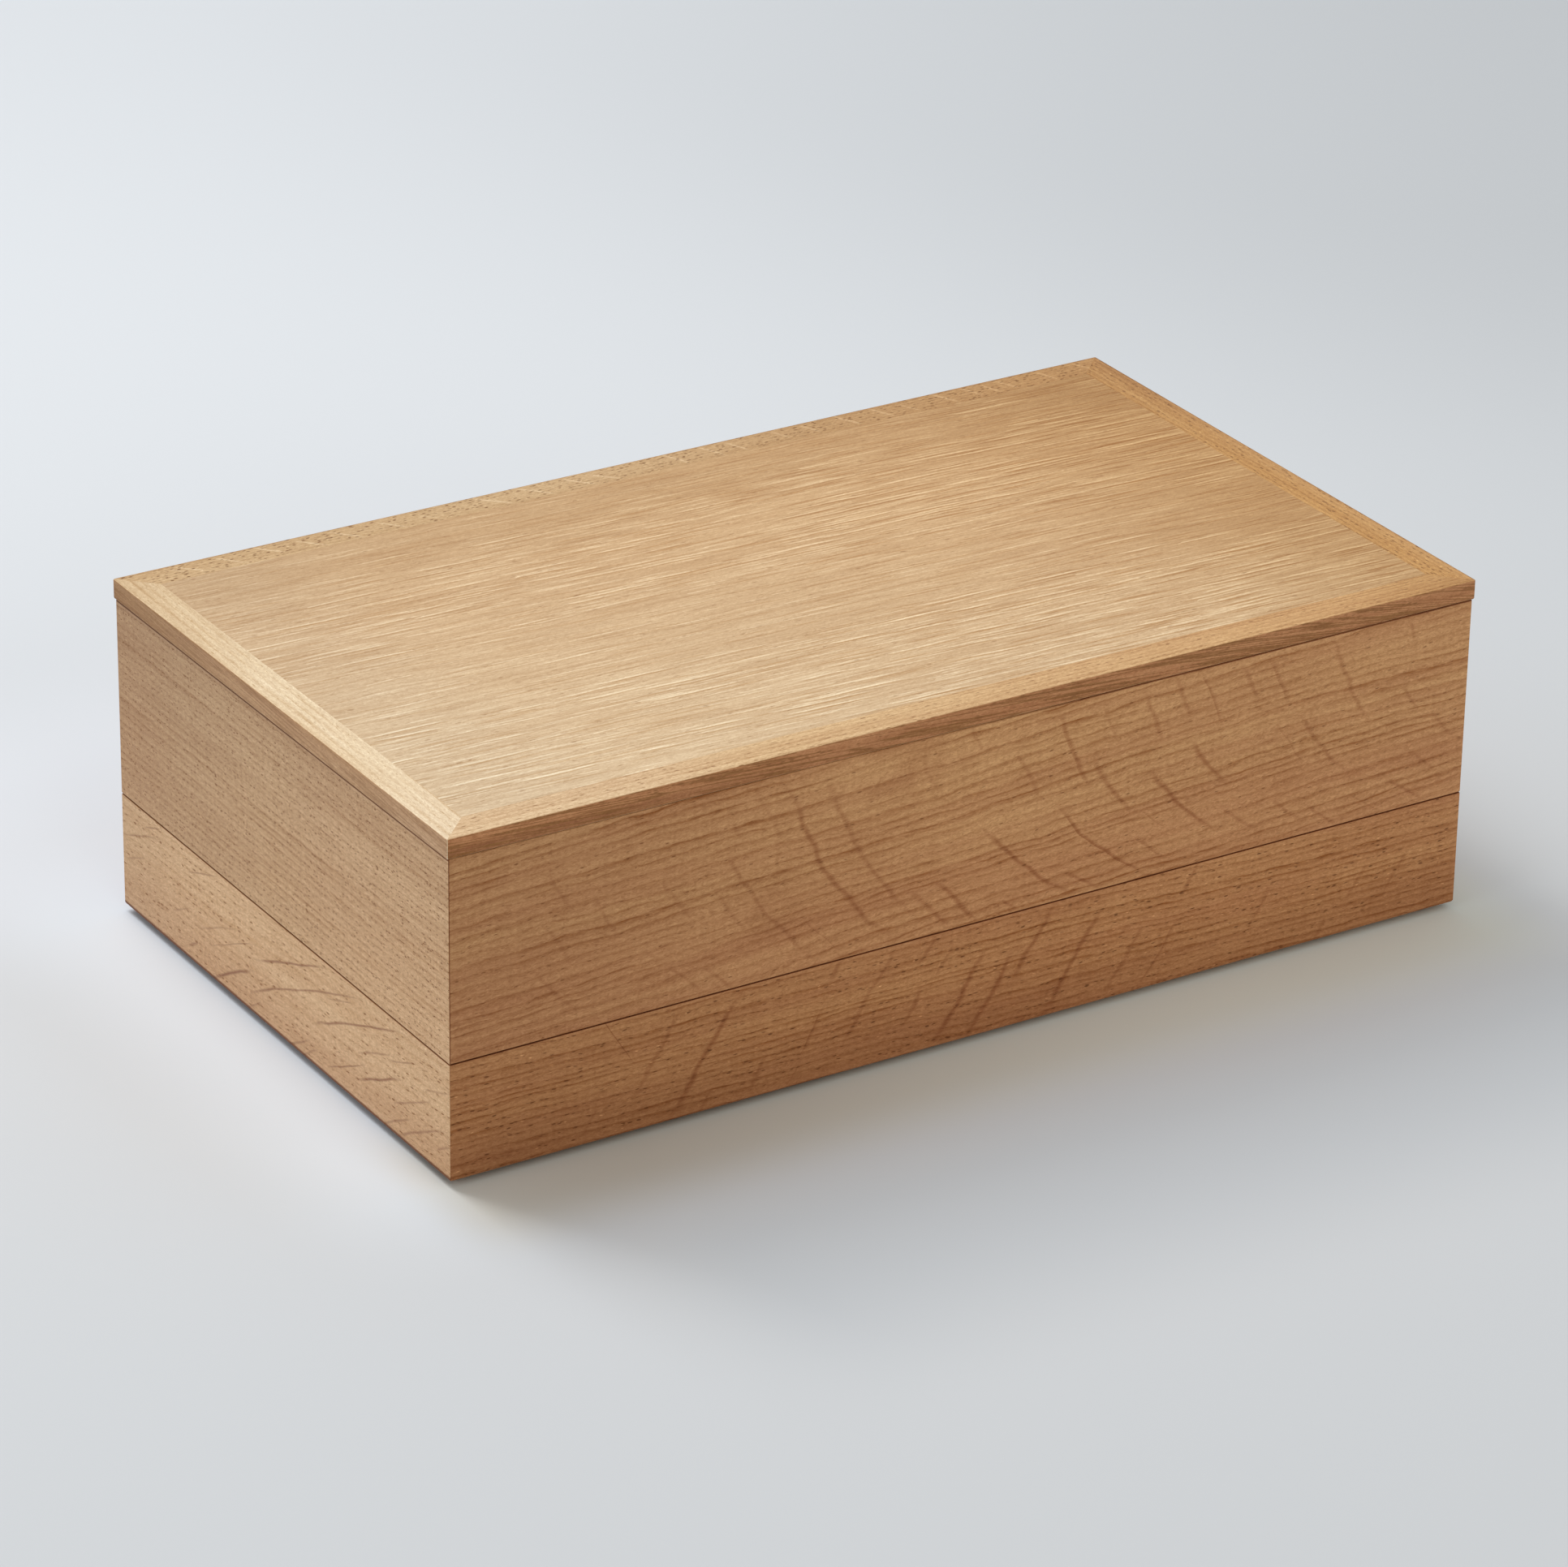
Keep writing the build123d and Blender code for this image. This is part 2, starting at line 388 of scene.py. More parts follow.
def wall_figure(board):
    """What one wall board shows besides its grain: rays, slow changes of tone and painted shade, planer
    marks, the mitre's glue line and the painted shade of the rim.

    The glue line is dark at the mitre, where the run is hardly more than the depth. At the rim a dark
    band is painted shade of the gap to the tier or lid above.
    """

    def figure(tree, steps, colour):
        run, rise, depth = steps
        for layer in wall_rays.get(board, ()):
            colour = tint(tree, rays(tree, run, rise, *layer), colour, ray_shades[board], "MULTIPLY")
        # The slow tones, some of them painted shade near the foot.
        for step, start, end, shade in wall_tones_and_shade[board]:
            colour = tint(tree, fade(tree, steps[step], start, end), colour, shade, "MULTIPLY")
        planing = noise(tree, joined(tree, run, rise, depth), planer_marks)
        colour = shaded(tree, colour, calc(tree, "MULTIPLY", planing, planer_strength))
        seam = fade(tree, calc(tree, "SUBTRACT", run, depth), *mitre_seam)
        seam = calc(tree, "MULTIPLY", seam, mitre_strengths[board.split("_")[0]])
        # The rim's dark band is painted shade of the gap above.
        rim = calc(tree, "MULTIPLY", fade(tree, rise, *rim_gap_shades[board]), fade(tree, depth, *rim_shade_depth))
        if board == "upper_front":
            rim = calc(tree, "MULTIPLY", rim, fade(tree, run, *upper_front_rim_shade_run))
        return tint(tree, calc(tree, "MAXIMUM", seam, rim), colour, glue_line_and_gap_shade, "MULTIPLY")

    return figure


upper_front_left_rays = (
    (101.5, 1, 60, 0.85), (77, 15, 60, 0.45), (85, 43, 58, 0.45), (49, 50, 60, 0.4),
    (114, 1, 54, 0.5), (119.5, 44, 60, 0.6), (128.5, 43, 60, 0.9), (144, 5, 16, 0.3),
    (162, 0, 9, 0.3), (82, 9, 17, 0.25), (41, 46, 60, 0.35), (26, 8, 24, 0.3), (6.5, 37, 56, 0.3),
    (35, 20, 36, 0.35), (56, 20, 37, 0.35), (68, 26, 47, 0.25), (17, 25, 40, 0.25),
    (93, 3, 20, 0.25),
)
upper_front_right_rays = (
    (133, 55, 60, 0.5), (151, 31, 60, 1.0), (159, 51, 60, 0.7), (173, 9, 29, 0.4),
    (175.5, 30, 60, 1.0), (187, 46, 56, 0.35), (189, 1, 29, 0.85), (194.5, 19, 39, 0.8),
    (197.5, 38, 48, 0.35), (203, 6, 16, 0.3), (209, 26, 52, 1.0), (217, 2, 21, 0.55),
    (219, 44, 56, 0.5), (226, 21, 38, 0.95), (228.5, 0, 14, 0.55), (234, 46, 56, 0.5),
    (237, 0, 20, 0.5), (240.5, 50, 60, 0.55), (250.5, 2, 15, 0.5), (253.5, 23, 38, 0.5),
    (255.5, 51, 60, 0.4), (260, 2, 18, 0.5), (262.5, 21, 44, 0.55), (271, 48, 60, 0.6),
    (281.5, 0, 32, 0.55), (286, 43, 51, 0.45), (298.5, 20, 31, 0.4), (302, 31, 42, 0.45),
    (307, 1, 10, 0.35),
)
lower_front_rays = (
    (90, 0, 35, 0.95), (72, 0, 26, 0.5), (61, 24, 33, 0.35), (122, 0, 6, 0.5), (124.5, 12, 27, 0.6),
    (139.2, 0, 28, 0.5), (113, 22, 33, 0.45), (126, 28, 35, 0.45), (152, 0, 9, 0.45),
    (158, 13, 27, 0.5), (160.5, 4, 13, 0.35), (174, 8, 35, 0.95), (185.5, 11, 35, 0.95),
    (191, 0, 22, 0.75), (210.5, 4, 35, 0.85), (230, 14, 33, 0.5), (242.5, 15, 35, 0.55),
    (239.4, 0, 9, 0.45), (98.8, 28, 35, 0.35), (303, 28, 35, 0.4), (307, 13, 26, 0.35),
    (321, 14, 26, 0.35), (273, 13, 26, 0.3),
)
lower_front_check = ((47.3, -6, 15, 1.0),)
lower_left_rays = (
    (127, 1, 18, 0.9), (147, 1, 31, 0.8), (170, 1, 23, 0.95), (134, 21, 35, 1.0),
    (113, 27, 31, 0.6), (115, 12, 26, 0.5), (197, 21, 32, 1.0), (207, 16, 28, 1.0),
    (190, 11, 20, 0.55), (194, 8, 14, 0.55), (222, 15, 26, 0.55), (241, 20, 35, 0.6),
    (180, 28, 35, 0.5), (187, 29, 35, 0.45), (154, 29, 35, 0.4), (36, 5, 13, 0.5), (62, 1, 8, 0.55),
    (28, 1, 5, 0.5), (53, 14, 20, 0.35), (233, 26, 35, 0.5), (214, 8, 14, 0.45), (252, 24, 29, 0.4),
    (152, 5, 11, 0.4), (90, 18, 24, 0.35), (104, 12, 23, 0.35),
)
upper_front_shades = ((82, 26, 50, 0.2), (140, -12, 20, 0.35))
upper_left_bend = (0.42, 0.008, 20.0)
upper_right_bend = (0.42, 0.012, 18.0)
upper_shade_bend = (0.4, 0.0, 0.0)
lower_front_bend = (-0.65, 0.0, 0.0)
lower_check_bend = (0.62, 0.0, 0.0)
lower_left_bend = (-3.0, 0.02, 0.0)
front_reach = (-80.0, 400.0)
left_reach = (-80.0, 350.0)
wall_rays = {
    "upper_front": (
        (upper_left_bend, 1.8, upper_front_left_rays, front_reach),
        (upper_right_bend, 1.7, upper_front_right_rays, front_reach),
        (upper_shade_bend, 22.0, upper_front_shades, front_reach),
    ),
    "lower_front": (
        (lower_front_bend, 1.8, lower_front_rays, front_reach),
        (lower_check_bend, 0.3, lower_front_check, front_reach),
    ),
    "lower_left": ((lower_left_bend, 1.7, lower_left_rays, left_reach),),
}
ray_shades = {
    "upper_front": (0.71, 0.59, 0.52, 1),
    "lower_front": (0.69, 0.56, 0.49, 1),
    "lower_left": (0.53, 0.41, 0.38, 1),
}
planer_marks = (1.6, 45, 45)
planer_strength = 0.1
mitre_seam = (0.35, 0.05)
mitre_strengths = {"lower": 0.35, "upper": 1.0}
rim_shade_depth = (0.9, 0.5)
upper_front_rim_shade_run = (100.0, 240.0)
glue_line_and_gap_shade = (0.38, 0.24, 0.17, 1)
# Painted shade: a dark band along each wall's rim, at the gap to the tier or lid above.
rim_gap_shades = {
    "upper_front": (0.48, 0.25),
    "upper_left": (0.6, 0.3),
    "lower_front": (0.2, 0.06),
    "lower_left": (0.26, 0.1),
}
RUN, RISE = 0, 1
# Slow changes of colour on each wall, as (step, start, end, colour). Some are painted shade: the lower
# front wall darkens towards its foot, where the floor in front is in shadow, and the narrow dark band
# by the lower left wall's foot is painted shade of its eased foot and the gap under it. The others
# darken towards one end, the top or the bottom.
wall_tones_and_shade = {
    "upper_front": (
        (RUN, 190.0, -20.0, (0.79, 0.77, 0.78, 1)),
        (RISE, 26.0, 50.0, (0.955, 0.9, 0.905, 1)),
    ),
    "lower_front": (
        (RUN, 230.0, -20.0, (0.82, 0.81, 0.81, 1)),
        (RISE, 14.0, 36.0, (0.775, 0.705, 0.7, 1)),
    ),
    "upper_left": (
        (RUN, 190.0, -10.0, (0.76, 0.73, 0.72, 1)),
        (RUN, 45.0, 0.0, (0.975, 0.94, 0.92, 1)),
        (RUN, 85.0, 130.0, (0.97, 0.955, 0.965, 1)),
        (RISE, 50.0, 0.0, (0.92, 0.92, 0.92, 1)),
    ),
    "lower_left": (
        (RUN, 60.0, -10.0, (0.9, 0.9, 0.9, 1)),
        (RISE, 10.0, 36.0, (0.86, 0.8, 0.78, 1)),
        (RISE, 33.35, 33.95, (0.32, 0.19, 0.14, 1)),
    ),
}
wall_woods = {
    "upper_front": {
        "pale": (0.68, 0.371, 0.166, 1),
        "deep": (0.6, 0.301, 0.135, 1),
        "dark": (0.315, 0.105, 0.022, 1),
        "pore": (0.16, 0.05, 0.01, 1),
    },
    "lower_front": {
        "pale": (0.61, 0.302, 0.128, 1),
        "deep": (0.535, 0.243, 0.104, 1),
        "dark": (0.285, 0.085, 0.014, 1),
        "pore": (0.12, 0.034, 0.006, 1),
    },
    "upper_left": {
        "pale": (0.765, 0.5, 0.278, 1),
        "deep": (0.68, 0.427, 0.23, 1),
        "dark": (0.42, 0.19, 0.06, 1),
        "pore": (0.22, 0.08, 0.015, 1),
    },
    "lower_left": {
        "pale": (0.77, 0.51, 0.293, 1),
        "deep": (0.7, 0.44, 0.243, 1),
        "dark": (0.48, 0.235, 0.08, 1),
        "pore": (0.27, 0.1, 0.02, 1),
    },
}
wall_look = {**plain_look, "Ring Tilt": 0.8, "grit": 0.6}
wall_looks = {
    "upper_front": {
        **wall_look,
        "Ring Width": 2.9,
        "Slope": 0.05,
        "Wave": 3.0,
        "Pore Share": 0.3,
        "ring": 1.1,
    },
    "lower_front": {
        **wall_look,
        "Ring Width": 2.2,
        "Slope": -0.012,
        "Pore Size": (2.2, 0.6, 0.6),
        "Pore Share": 1.1,
        "ring": 1.05,
        "pore": 0.85,
        "speck": 0.7,
    },
    "upper_left": {
        **wall_look,
        "Ring Width": 2.3,
        "Slope": 0.0,
        "Wave": 1.2,
        "Pore Size": (1.5, 0.55, 0.55),
        "Pore Share": 2.0,
        "ring": 0.65,
        "pore": 0.95,
    },
    "lower_left": {
        **wall_look,
        "Ring Width": 2.6,
        "Slope": 0.06,
        "Pore Size": (2.6, 0.7, 0.7),
        "Pore Share": 1.3,
        "ring": 0.5,
        "pore": 0.9,
    },
}
SIDES = ("front", "right", "back", "left")
wall_axes = {"front": "X -Z Y", "right": "-Y -Z -X", "back": "X -Z -Y", "left": "-Y -Z X"}
twin = {"front": "front", "right": "left", "back": "front", "left": "left"}
wall_seed_step = (370.0, 83.0, 11.0)
tier_offsets = {"lower": 0.0, "upper": 40.0}


def outer_corner(side, low, high):
    """The top outer corner at which a side's grain starts, from its box's low and high corners."""
    across = high[0] if side == "right" else low[0]
    deep = low[1] if side == "front" else high[1]
    return across, deep, high[2]


for tier in ("lower", "upper"):
    for number, side in enumerate(SIDES):
        node = f"{tier}_{side}_wall"
        start = outer_corner(side, *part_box(node))
        board = f"{tier}_{twin[side]}"
        seed = [step * number for step in wall_seed_step]
        seed[1] += tier_offsets[tier]
        wood, look, figure = wall_woods[board], wall_looks[board], wall_figure(board)
        dress(node, oak_board(node, wall_axes[side], start, seed, wood, look, figure))


# Lid panel. A core board, tongued into the frame, with a quarter-cut oak veneer pressed on each face.
# The top veneer's grain runs along the box, with pale streaks where the rays come through.
core_board = oak_board("core_board", "X Y Z", Vector(), (900, 0, 0), raw_oak, plain_look)
dress("lid_panel_core", core_board)


def along_ramp(tree, value, stops):
    """A number that goes through the given pairs of place and value."""
    step = tree.nodes.new("ShaderNodeValToRGB")
    points = step.color_ramp.elements
    points.remove(points[1])
    for number, (place, amount) in enumerate(stops):
        point = points[0] if number == 0 else points.new(place)
        point.position = place
        point.color = (amount, amount, amount, 1)
    feed(tree, step.inputs[0], value)
    return step.outputs[0]


ROW_SHIFT = 0.618
LINE_REACH = (0.2, 0.65)
TAPER = (1.0, 0.4)
SHARP_SHARE = 0.3
CHANCE_EDGE = (-0.05, 0.15)


def dashes(tree, along, across, size, share, half_width):
    """Thin lines along the grain: each cell of a stretched pattern holds one, by a chance of share.

    size is the cells' length and pitch in mm, and each row is shifted by ROW_SHIFT of a length against
    the last. A line runs through its cell's middle. To each side it reaches, by chance, between the two
    shares of a length in LINE_REACH, and it tapers there.
    """
    length, pitch = size
    row = calc(tree, "DIVIDE", across, pitch)
    column = calc(tree, "MULTIPLY_ADD", row, ROW_SHIFT, calc(tree, "DIVIDE", along, length))
    grid = joined(tree, column, row, 0.0)
    cells = tree.nodes.new("ShaderNodeTexVoronoi")
    cells.voronoi_dimensions = "2D"
    cells.inputs["Scale"].default_value = 1.0
    feed(tree, cells.inputs["Vector"], grid)
    chance = tree.nodes.new("ShaderNodeSeparateColor")
    feed(tree, chance.inputs[0], cells.outputs["Color"])
    here = parted(tree, grid)
    middle = parted(tree, cells.outputs["Position"])
    ahead = calc(tree, "ABSOLUTE", calc(tree, "SUBTRACT", here[0], middle[0]))
    aside = calc(tree, "ABSOLUTE", calc(tree, "SUBTRACT", here[1], middle[1]))
    reach = between(tree, chance.outputs[1], *LINE_REACH)
    run = fade(tree, calc(tree, "DIVIDE", ahead, reach), *TAPER)
    breadth = fade(tree, calc(tree, "MULTIPLY", aside, pitch), half_width, SHARP_SHARE * half_width)
    there = fade(tree, calc(tree, "SUBTRACT", share, chance.outputs[0]), *CHANCE_EDGE)
    return calc(tree, "MULTIPLY", calc(tree, "MULTIPLY", run, breadth), there)


veneer_length = 311.0
veneer_width = 171.0
veneer_slope = 0.022
veneer_sway_size = (90, 45, 1)
veneer_sway = 1.8
veneer_ripple_size = (17, 6, 1)
veneer_ripple = 0.55
bands_start = 3.4
veneer_bands = (
    (0.0, 0.9),
    (0.27, 0.85),
    (0.34, 0.2),
    (0.5, 0.15),
    (0.56, 0.95),
    (0.72, 1.0),
    (0.86, 0.75),
    (0.91, 0.15),
    (1.0, 0.2),
)
rightward_run = (60.0, 240.0)
brown_cells = (29.0, 1.5)
fine_cells = (20.0, 1.4)
bold_cells = (32.0, 2.3)
beside_offset = 0.75
streak_half_widths = {"brown": 0.4, "fine": 0.42, "beside": 0.45, "bold": 0.6}
streak_strengths = {"fine": 0.66, "beside": 0.4, "bold": 0.95}
crowd_rightward = (0.6, 1.0)
brown_chance = (0.6, 0.8)
brown_strength = (0.42, 0.64)
brown_in_bands = (0.65, 1.0)
fine_chance = (0.12, 0.82)
bold_chance = (0.0, 0.66)
sheen_rightward = 0.58
sheen_rearward = 0.42
pale_ray = (0.88, 0.715, 0.5, 1)
brown_ray = (0.42, 0.2, 0.05, 1)


def veneer_streaks(tree, steps, colour):
    """Fine brown lines along the grain, and pale ones where the rays come through, crowded in bands.

    The lines follow a drift: the place across, plus a slope along the panel, a slow sway and a ripple.
    The bands go by the drift, from front to back, and the streaks grow stronger to the right. Each bold
    pale streak has a brown one beside it. Then the panel is painted deeper to the right and the back
    and
    paler at the front left: a painted sheen.
    """
    along, across = steps[:2]
    flat = joined(tree, along, across, 0.0)
    drift = calc(tree, "MULTIPLY_ADD", along, veneer_slope, across)
    drift = calc(tree, "MULTIPLY_ADD", noise(tree, flat, veneer_sway_size), veneer_sway, drift)
    drift = calc(tree, "MULTIPLY_ADD", noise(tree, flat, veneer_ripple_size), veneer_ripple, drift)
    back_share = calc(tree, "DIVIDE", calc(tree, "SUBTRACT", drift, bands_start), veneer_width)
    bands = along_ramp(tree, back_share, veneer_bands)
    rightward = fade(tree, along, *rightward_run)
    crowd = calc(tree, "MULTIPLY", bands, between(tree, rightward, *crowd_rightward))

    brown_share = between(tree, rightward, *brown_chance)
    brown = dashes(tree, along, drift, brown_cells, brown_share, streak_half_widths["brown"])
    brown = calc(tree, "MULTIPLY", brown, between(tree, rightward, *brown_strength))
    brown = calc(tree, "MULTIPLY", brown, between(tree, bands, *brown_in_bands))
    colour = tint(tree, brown, colour, brown_ray)
    fine_share = between(tree, crowd, *fine_chance)
    bold_share = between(tree, crowd, *bold_chance)
    shifted = calc(tree, "ADD", drift, beside_offset)
    for name, line, cells, share, shade in (
        ("fine", drift, fine_cells, fine_share, pale_ray),
        ("beside", shifted, bold_cells, bold_share, brown_ray),
        ("bold", drift, bold_cells, bold_share, pale_ray),
    ):
        streak = dashes(tree, along, line, cells, share, streak_half_widths[name])
        colour = tint(tree, calc(tree, "MULTIPLY", streak, streak_strengths[name]), colour, shade)

    # Painted sheen: the panel pales towards the front left and deepens to the right and the back.
    sheen_share = calc(tree, "MULTIPLY", along, sheen_rightward / veneer_length)
    sheen_share = calc(tree, "MULTIPLY_ADD", across, sheen_rearward / veneer_width, sheen_share)
    rear_left = calc(tree, "MULTIPLY", fade(tree, across, 50.0, 120.0), fade(tree, along, 160.0, -20.0))
    for share, shade in (
        (fade(tree, sheen_share, 0.0, 0.95), (0.85, 0.7, 0.54, 1)),
        (fade(tree, across, 120.0, 172.0), (0.92, 0.92, 0.915, 1)),
        (rear_left, (0.935, 0.905, 0.88, 1)),
        (fade(tree, along, 60.0, 10.0), (0.985, 1.01, 1.05, 1)),
        (fade(tree, along, 215.0, 330.0), (0.83, 0.76, 0.64, 1)),
    ):
        colour = tint(tree, share, colour, shade, "MULTIPLY")
    return colour


veneer_look = {
    **plain_look,
    "Ring Width": 2.3,
    "Slope": 0.02,
    "Wave": 4.0,
    "Pore Size": (3.0, 0.5, 0.5),
    "Pore Share": 0.4,
    "ring": 0.22,
    "fibre": 0.3,
    "grit": 0.4,
    "pore": 0.6,
}
veneer_oak = {
    "pale": (0.705, 0.52, 0.33, 1),
    "deep": (0.665, 0.475, 0.292, 1),
    "dark": (0.42, 0.225, 0.085, 1),
    "pore": (0.28, 0.125, 0.04, 1),
}
for face, seed in (("top", (0, 500, 0)), ("under", (500, 900, 0))):
    node = f"lid_{face}_veneer"
    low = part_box(node)[0]
    dress(node, oak_board(node, "X Y Z", low, seed, veneer_oak, veneer_look, veneer_streaks))


# Lid frame. Four oak rails, 10 by 6 mm, mitred and splined at the corners, flush with the panel.
# Each rail is from another board, so its colour and figure differ. Its edge is painted deeper than its
# top: painted shade on the sides, against the painted sheen on the top.
rail_woods = {
    "front": {
        "pale": (0.755, 0.545, 0.333, 1),
        "deep": (0.665, 0.45, 0.265, 1),
        "dark": (0.4, 0.19, 0.07, 1),
        "pore": (0.26, 0.11, 0.035, 1),
    },
    "right": {
        "pale": (0.63, 0.358, 0.14, 1),
        "deep": (0.515, 0.263, 0.09, 1),
        "dark": (0.27, 0.11, 0.03, 1),
        "pore": (0.18, 0.07, 0.02, 1),
    },
    "back": {
        "pale": (0.62, 0.427, 0.238, 1),
        "deep": (0.565, 0.372, 0.195, 1),
        "dark": (0.36, 0.165, 0.055, 1),
        "pore": (0.2, 0.085, 0.024, 1),
    },
    "left": {
        "pale": (0.86, 0.7, 0.495, 1),
        "deep": (0.77, 0.585, 0.38, 1),
        "dark": (0.54, 0.33, 0.15, 1),
        "pore": (0.45, 0.26, 0.11, 1),
    },
}
INWARD = 1
# Slow changes of tone on each rail, as (step, start, end, colour). Along the rails they are painted
# sheen: the lid is paler towards the front left and deeper towards the right and the back. Across the
# right rail it grows lighter inwards and darker towards its outer edge.
rail_tones_and_sheen = {
    "front": (
        (RUN, 50.0, 110.0, (0.98, 0.95, 0.87, 1)),
        (RUN, 30.0, 340.0, (0.9, 0.765, 0.62, 1)),
        (RUN, 275.0, 330.0, (0.86, 0.82, 0.73, 1)),
    ),
    "right": (
        (RUN, 130.0, -20.0, (0.85, 0.82, 0.83, 1)),
        (INWARD, 5.5, 8.5, (1.04, 1.05, 1.04, 1)),
        (INWARD, 6.0, 0.5, (0.92, 0.9, 0.93, 1)),
    ),
    "back": ((RUN, 90.0, 340.0, (0.79, 0.63, 0.465, 1)),),
    "left": (
        (RUN, 130.0, -20.0, (0.81, 0.745, 0.66, 1)),
        (RUN, 140.0, 190.0, (1.03, 1.05, 1.1, 1)),
    ),
}
rim_shades = {"right": (0.72, 0.66, 0.66, 1), "back": (0.78, 0.7, 0.66, 1)}
# Painted shade of each rail's outer edge, darker than the top of the same board.
edge_painted_shades = {
    "front": (0.76, 0.5, 0.37, 1),
    "right": (0.85, 0.75, 0.7, 1),
    "back": (0.85, 0.75, 0.7, 1),
    "left": (0.69, 0.52, 0.4, 1),
}
edge_lines = {"front": 0.8, "right": 0.4, "back": 0.5, "left": 0.42}
back_rail_left_rays = (
    (14, 2, 6, 0.5), (17, 1, 8, 0.8), (29, 1, 9, 0.8), (43, 0, 8, 0.9), (54, 2, 10, 0.7),
    (66, 1, 10, 0.8), (80, 2, 10, 0.7), (92, 3, 9, 0.4), (114, 0, 10, 1.0), (128, 0, 10, 0.9),
    (142, 1, 10, 0.9), (150, 2, 10, 0.8),
)
back_rail_right_rays = (
    (178, 0, 10, 0.9), (190, 0, 10, 0.8), (198, 1, 10, 0.8), (214, 1, 8, 0.6), (224, 1, 9, 0.7),
    (237, 0, 10, 0.9), (249, 0, 10, 0.8), (258, 2, 10, 0.6), (271, 0, 10, 1.0), (281, 0, 9, 0.9),
    (287, 1, 10, 0.9), (293, 0, 10, 0.9), (307, 0, 10, 1.0), (321, 1, 8, 0.7),
)
back_left_bend = (0.95, 0.0, 0.0)
back_right_bend = (0.45, 0.0, 0.0)
back_reach = (-20.0, 360.0)
back_rail_rays = (
    (back_left_bend, 1.0, back_rail_left_rays, back_reach),
    (back_right_bend, 1.0, back_rail_right_rays, back_reach),
)
back_rays_strength = 0.6
dark_ray = (0.26, 0.11, 0.03, 1)
amber_ray = (0.85, 0.65, 0.42, 1)
edge_turn = (0.16, 0.04)
rim_reach = (0.9, 0.2)
low_left_depth = (-2.2, -4.2)
low_left_run = (170.0, 0.0)
low_left_shade = (0.68, 0.62, 0.58, 1)
rear_run = (90.0, -10.0)
rear_shade = (0.84, 0.81, 0.74, 1)
line_size = (50, 1.3, 1)
line_edge = (0.15, 0.02)
line_slope = 0.05
line_curve = 0.0005
curve_start = 190.0


def rail_figure(side):
    """The rays on a rail's top, its tone with painted sheen, and the painted shade of its outer edge.

    The dark lines on that edge lie where a noise is near 0, along a line that sinks by line_slope times
    the run, plus line_curve times the square of the run past curve_start.
    """

    def figure(tree, steps, colour):
        run, inward, depth = steps
        for layer in back_rail_rays if side == "back" else ():
            trace = calc(tree, "MULTIPLY", rays(tree, run, inward, *layer), back_rays_strength)
            colour = tint(tree, trace, colour, amber_ray)
        edge = fade(tree, inward, *edge_turn)
        # Painted sheen along the rail; on the front rail it stays off the edge.
        for step, start, end, shade in rail_tones_and_sheen[side]:
            change = fade(tree, steps[step], start, end)
            if side == "front":
                change = calc(tree, "MULTIPLY", change, calc(tree, "SUBTRACT", 1.0, edge))
            colour = tint(tree, change, colour, shade, "MULTIPLY")
        if side in rim_shades:
            colour = tint(tree, fade(tree, inward, *rim_reach), colour, rim_shades[side], "MULTIPLY")
        if side == "front":
            low_left = fade(tree, depth, *low_left_depth)
            low_left = calc(tree, "MULTIPLY", low_left, fade(tree, run, *low_left_run))
            colour = tint(tree, low_left, colour, low_left_shade, "MULTIPLY")
        # The outer edge takes its painted shade.
        colour = tint(tree, edge, colour, edge_painted_shades[side], "MULTIPLY")
        if side == "left":
            rear = calc(tree, "MULTIPLY", edge, fade(tree, run, *rear_run))
            colour = tint(tree, rear, colour, rear_shade, "MULTIPLY")
        past = calc(tree, "MAXIMUM", calc(tree, "SUBTRACT", run, curve_start), 0.0)
        bend = calc(tree, "MULTIPLY", calc(tree, "MULTIPLY", past, past), line_curve)
        sink = calc(tree, "MULTIPLY_ADD", run, line_slope, bend)
        slant = joined(tree, run, calc(tree, "ADD", sink, depth), 0.0)
        line = fade(tree, calc(tree, "ABSOLUTE", noise(tree, slant, line_size)), *line_edge)
        line = calc(tree, "MULTIPLY", line, calc(tree, "MULTIPLY", edge, edge_lines[side]))
        return tint(tree, line, colour, dark_ray)

    return figure


rail_axes = {"front": "X Y Z", "right": "-Y -X Z", "back": "X -Y Z", "left": "-Y X Z"}
rail_look = {**plain_look, "Ring Tilt": 0.5, "Wave": 1.0, "grit": 0.6}
rail_looks = {
    "front": {
        **rail_look,
        "Ring Width": 1.9,
        "Pore Size": (2.4, 0.6, 0.6),
        "Pore Share": 1.5,
        "ring": 0.7,
        "pore": 0.8,
    },
    "right": {
        **rail_look,
        "Ring Width": 2.0,
        "Pore Size": (2.2, 0.9, 0.9),
        "Pore Share": 4.0,
        "ring": 0.7,
        "pore": 0.75,
        "speck": 0.6,
    },
    "back": {
        **rail_look,
        "Ring Width": 1.6,
        "Pore Size": (1.8, 0.85, 0.85),
        "Pore Share": 6.0,
        "ring": 0.5,
        "pore": 1.0,
        "speck": 0.4,
    },
    "left": {
        **rail_look,
        "Ring Width": 2.8,
        "Pore Share": 0.6,
        "ring": 0.8,
        "fibre": 0.2,
        "grit": 0.5,
    },
}
rail_seed_step = (510.0, 61.0, 17.0)
for number, side in enumerate(SIDES):
    node = f"lid_{side}_rail"
    start = outer_corner(side, *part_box(node))
    seed = [step * number for step in rail_seed_step]
    wood, look, figure = rail_woods[side], rail_looks[side], rail_figure(side)
    dress(node, oak_board(node, rail_axes[side], start, seed, wood, look, figure))


